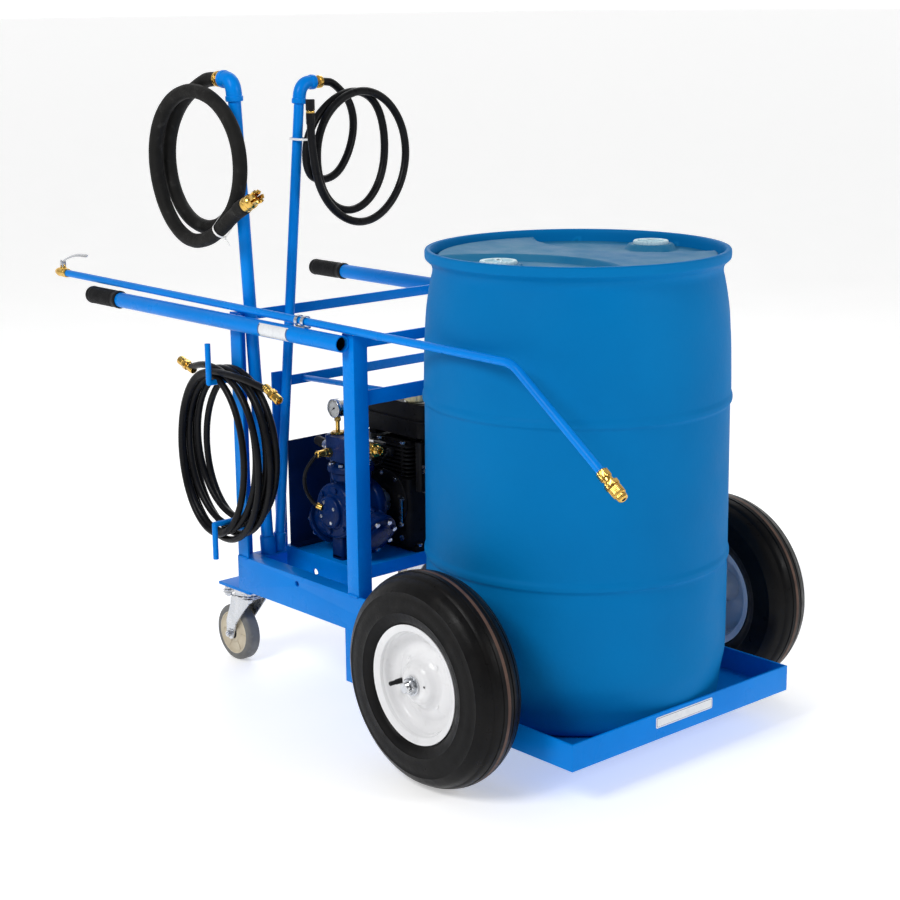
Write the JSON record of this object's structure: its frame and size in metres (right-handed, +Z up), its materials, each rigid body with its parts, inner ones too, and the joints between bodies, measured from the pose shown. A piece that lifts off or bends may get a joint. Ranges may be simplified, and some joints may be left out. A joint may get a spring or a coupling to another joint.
{
  "type": "wheeled sprayer cart",
  "caption": "Push cart with a closed drum on a low tray, an engine-driven pump on a deck behind it, coiled hoses on risers and a hand lance.",
  "frame": {"origin": "on the ground, under the middle of the cart", "axes": "+X forward to the drum end, +Y to the left side, +Z up"},
  "size_m": [1.8209, 0.95, 1.2853],
  "materials": {
    "frame_paint": "gloss azure enamel",
    "zinc": "bright zinc plate",
    "axle_steel": "gloss azure enamel",
    "black_grip": "matte black moulding",
    "caster_tread": "grey thermoplastic tread",
    "tyre_rubber": "black rubber",
    "rim_paint": "gloss white enamel",
    "drum_plastic": "semi-matte blue polyethylene",
    "bung_plastic": "pale polyethylene",
    "engine_black": "black enamel",
    "pump_paint": "dark blue enamel",
    "brass": "machined brass",
    "gauge": "bright case",
    "hose_rubber": "black hose",
    "nylon": "white nylon"
  },
  "bodies": {
    "root": {"air_cleaner": "engine_black", "axle_nuts": "zinc", "caster_bolts": "zinc", "caster_top_plates": "zinc", "corner_posts": "frame_paint", "deck_cross_members": "frame_paint", "deck_rail_left": "frame_paint", "deck_rail_right": "frame_paint", "drum_tray": "frame_paint", "engine_base": "frame_paint", "engine_block": "engine_black", "frame_bars": "frame_paint", "fuel_tank": "engine_black", "grip_left": "black_grip", "grip_right": "black_grip", "handle_left": "frame_paint", "handle_right": "frame_paint", "hose_hooks": "frame_paint", "lance_clip": "zinc", "muffler": "engine_black", "pressure_gauge": "gauge", "pump_body": "pump_paint", "pump_covers": "pump_paint", "pump_hose": "hose_rubber", "pump_manifold": "brass", "rear_guard": "frame_paint", "return_coil": "hose_rubber", "return_end": "brass", "return_mast": "frame_paint", "spray_coil": "hose_rubber", "spray_ends": "brass", "starter_cover": "engine_black", "stub_axles": "axle_steel", "suction_coil": "hose_rubber", "suction_mast": "frame_paint", "suction_strainer": "brass", "tray_uprights": "frame_paint", "zip_ties": "nylon"},
    "wheel_right": {"tyre_right": "tyre_rubber", "rim_right": "rim_paint"},
    "wheel_left": {"tyre_left": "tyre_rubber", "rim_left": "rim_paint"},
    "fork_right": {"caster_fork_right": "zinc"},
    "fork_left": {"caster_fork_left": "zinc"},
    "roller_right": {"caster_wheel_right": "caster_tread"},
    "roller_left": {"caster_wheel_left": "caster_tread"},
    "drum_body": {"drum": "drum_plastic"},
    "bung_right_body": {"bung_right": "bung_plastic"},
    "bung_left_body": {"bung_left": "bung_plastic"},
    "cap_body": {"fuel_cap": "black_grip"},
    "starter_body": {"starter_grip": "black_grip"},
    "throttle_body": {"throttle_lever": "black_grip"},
    "shaft_body": {"drive_shaft": "zinc"},
    "regulator_body": {"regulator_knob": "black_grip"},
    "valve_lever_body": {"outlet_valve_lever": "zinc"},
    "lance_body": {"lance_tube": "frame_paint", "lance_nozzle": "brass", "lance_valve": "brass"},
    "trigger_body": {"lance_lever": "zinc"}
  },
  "joints": [
    {"name": "wheel_right_spin", "type": "hinge", "parent": "root", "child": "wheel_right", "pos_m": [0.5175, -0.404, 0.205], "axis": [0, 1, 0], "continuous": true},
    {"name": "wheel_left_spin", "type": "hinge", "parent": "root", "child": "wheel_left", "pos_m": [0.5175, 0.404, 0.205], "axis": [0, 1, 0], "continuous": true},
    {"name": "caster_right_swivel", "type": "hinge", "parent": "root", "child": "fork_right", "pos_m": [-0.2575, -0.262, 0.16], "axis": [0, 0, 1], "continuous": true},
    {"name": "caster_left_swivel", "type": "hinge", "parent": "root", "child": "fork_left", "pos_m": [-0.2575, 0.262, 0.16], "axis": [0, 0, 1], "continuous": true},
    {"name": "caster_right_roll", "type": "hinge", "parent": "fork_right", "child": "roller_right", "pos_m": [-0.2995, -0.262, 0.0625], "axis": [0, 1, 0], "continuous": true},
    {"name": "caster_left_roll", "type": "hinge", "parent": "fork_left", "child": "roller_left", "pos_m": [-0.2995, 0.262, 0.0625], "axis": [0, 1, 0], "continuous": true},
    {"name": "drum_lift", "type": "slide", "parent": "root", "child": "drum_body", "axis": [0, 0, 1], "range_m": [0, 0.06]},
    {"name": "bung_right_lift", "type": "slide", "parent": "drum_body", "child": "bung_right_body", "axis": [0, 0, 1], "range_m": [0, 0.03]},
    {"name": "bung_left_lift", "type": "slide", "parent": "drum_body", "child": "bung_left_body", "axis": [0, 0, 1], "range_m": [0, 0.03]},
    {"name": "fuel_cap_turn", "type": "hinge", "parent": "root", "child": "cap_body", "pos_m": [0.0375, -0.025, 0.61], "axis": [0, 0, 1], "range_deg": [0, 90]},
    {"name": "starter_pull", "type": "slide", "parent": "root", "child": "starter_body", "axis": [-1, 0, 0], "range_m": [0, 0.12], "stiffness_N_per_m": 60},
    {"name": "throttle_swing", "type": "hinge", "parent": "root", "child": "throttle_body", "pos_m": [0.0275, -0.062, 0.334], "axis": [0, 1, 0], "range_deg": [-20, 20]},
    {"name": "shaft_spin", "type": "hinge", "parent": "root", "child": "shaft_body", "pos_m": [-0.0295, -0.077, 0.378], "axis": [0, 1, 0], "continuous": true},
    {"name": "regulator_turn", "type": "hinge", "parent": "root", "child": "regulator_body", "pos_m": [-0.0025, -0.16, 0.56], "axis": [0, 0, 1], "range_deg": [0, 720]},
    {"name": "outlet_valve_turn", "type": "hinge", "parent": "root", "child": "valve_lever_body", "pos_m": [0.0365, -0.16, 0.536], "axis": [0, 0, 1], "range_deg": [-90, 0]},
    {"name": "lance_lift", "type": "slide", "parent": "root", "child": "lance_body", "axis": [0, 0, 1], "range_m": [0, 0.06]},
    {"name": "trigger_press", "type": "hinge", "parent": "lance_body", "child": "trigger_body", "pos_m": [-0.88427, -0.312, 0.834], "axis": [0, 1, 0], "range_deg": [0, 12], "stiffness_Nm_per_rad": 0.3}
  ]
}
